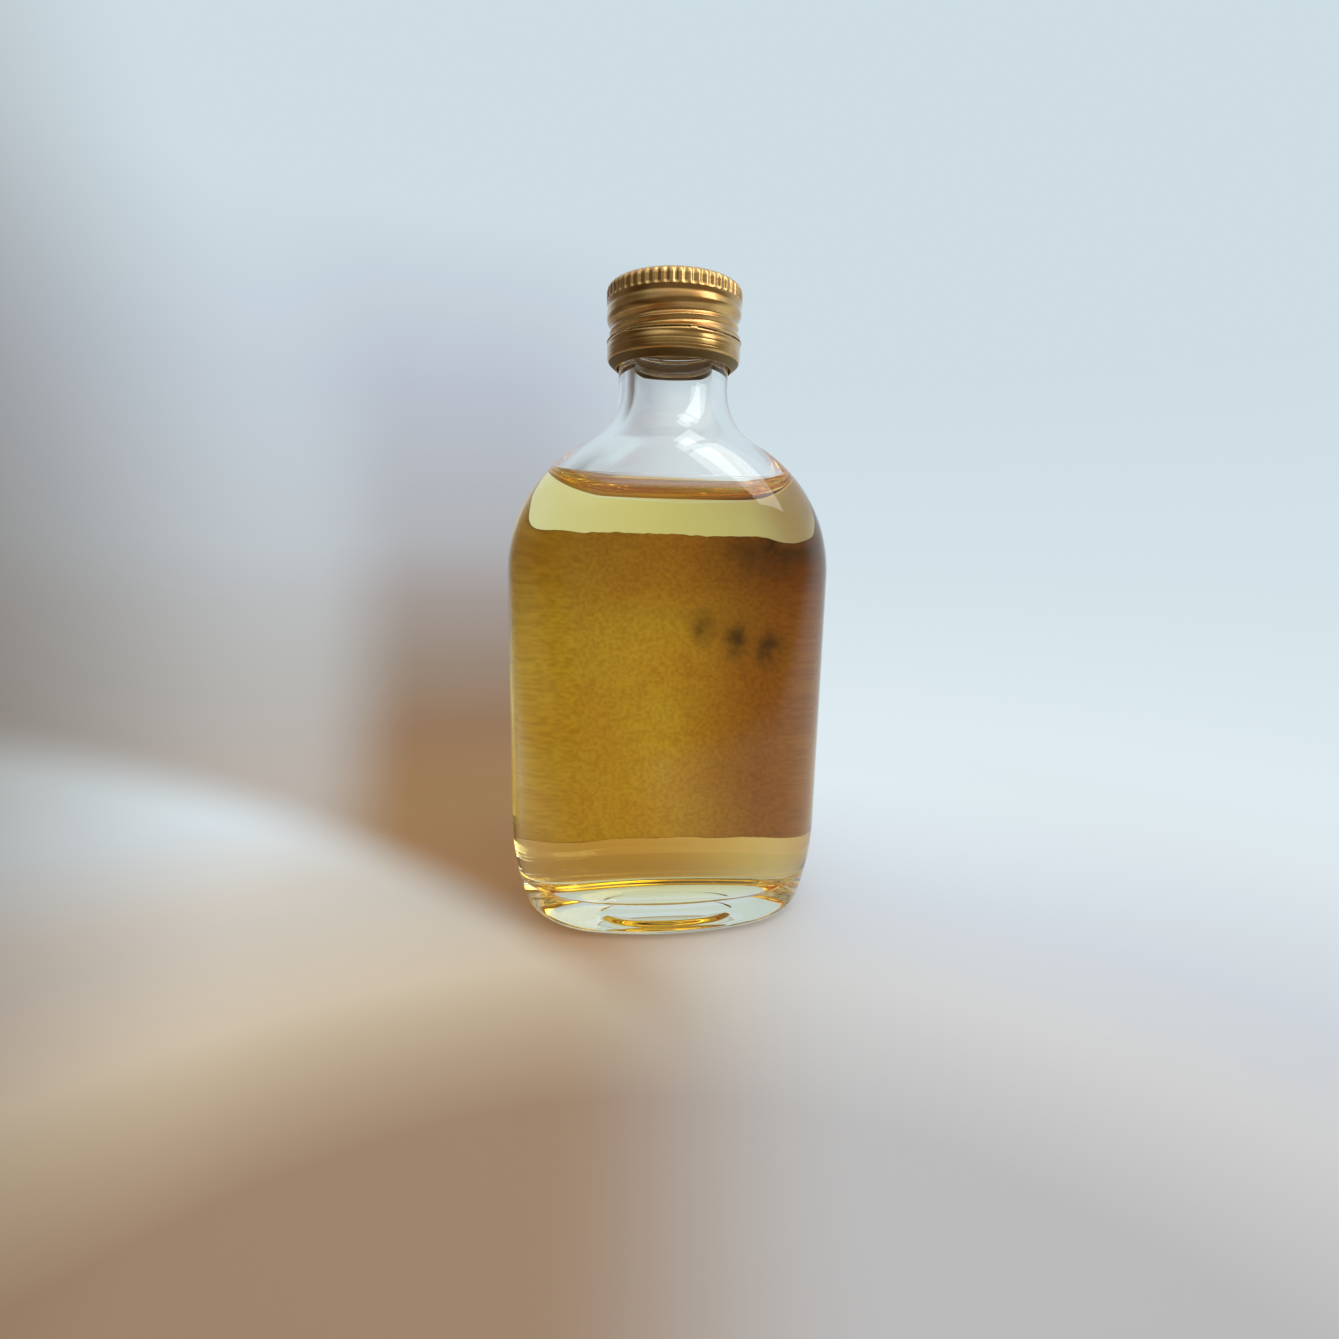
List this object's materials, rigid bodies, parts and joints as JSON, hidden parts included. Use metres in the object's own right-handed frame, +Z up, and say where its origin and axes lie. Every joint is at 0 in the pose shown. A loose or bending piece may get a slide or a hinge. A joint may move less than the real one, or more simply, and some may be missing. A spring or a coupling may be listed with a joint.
{
  "type": "oil bottle",
  "caption": "Flat oval glass flask of yellow oil with a gold rolled-on screw cap, a break-off neck band and a paper label on its back.",
  "frame": {"origin": "centre of the foot, on the surface that the bottle stands on", "axes": "+Z up the neck, X across the wide way, the plain face towards -Y and the label towards +Y"},
  "size_m": [0.0454, 0.0282, 0.0872],
  "materials": {
    "clear_glass": "clear flint glass, smooth",
    "yellow_oil": "clear yellow oil",
    "label_paper": "aged uncoated paper",
    "gold_cap": "satin gold lacquer on thin aluminium",
    "wad_board": "pressed pulp board",
    "wad_foil": "foil facing"
  },
  "bodies": {
    "bottle": {"bottle": "clear_glass", "oil_fill": "yellow_oil", "label": "label_paper"},
    "liner": {"cap_wad": "wad_board", "wad_facing": "wad_foil"},
    "cap": {"cap_shell": "gold_cap"},
    "band": {"pilfer_band": "gold_cap"}
  },
  "joints": [
    {"name": "cap_rise", "type": "slide", "parent": "bottle", "child": "liner", "axis": [0, 0, 1], "range_m": [0, 0.0067]},
    {"name": "cap_turn", "type": "hinge", "parent": "liner", "child": "cap", "pos_m": [0, 0, 0.0835], "axis": [0, 0, 1], "range_deg": [0, 2160]},
    {"name": "band_spin", "type": "hinge", "parent": "bottle", "child": "band", "pos_m": [0, 0, 0.0785], "axis": [0, 0, 1], "continuous": true}
  ],
  "couplings": [
    {"joint": "cap_rise", "follows": "cap_turn", "m_per_rad": 0.00017507}
  ]
}
